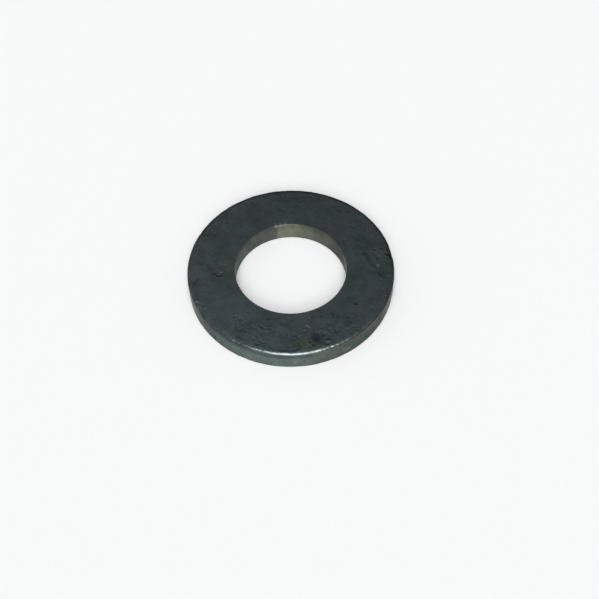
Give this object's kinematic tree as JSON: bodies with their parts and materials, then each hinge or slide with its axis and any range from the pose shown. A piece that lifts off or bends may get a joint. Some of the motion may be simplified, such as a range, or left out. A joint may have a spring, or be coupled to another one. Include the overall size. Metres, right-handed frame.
{
  "type": "flat washer",
  "caption": "Plain round flat washer of dark steel plate with a clear central hole; spreads a bolt head's or nut's load over the surface under it.",
  "frame": {"origin": "centre of the hole, in the plane of the washer's underside", "axes": "+Z along the bolt's axis, from the underside (burr side) to the upper face (die-roll side); the washer is round, so X and Y are free"},
  "size_m": [0.024, 0.024, 0.0025],
  "materials": {
    "dark_steel": "dark slate grey steel, thin conversion coating, tumbled, dull sheen with brighter rubbed edges"
  },
  "bodies": {
    "root": {"flat_washer": "dark_steel"}
  },
  "joints": []
}
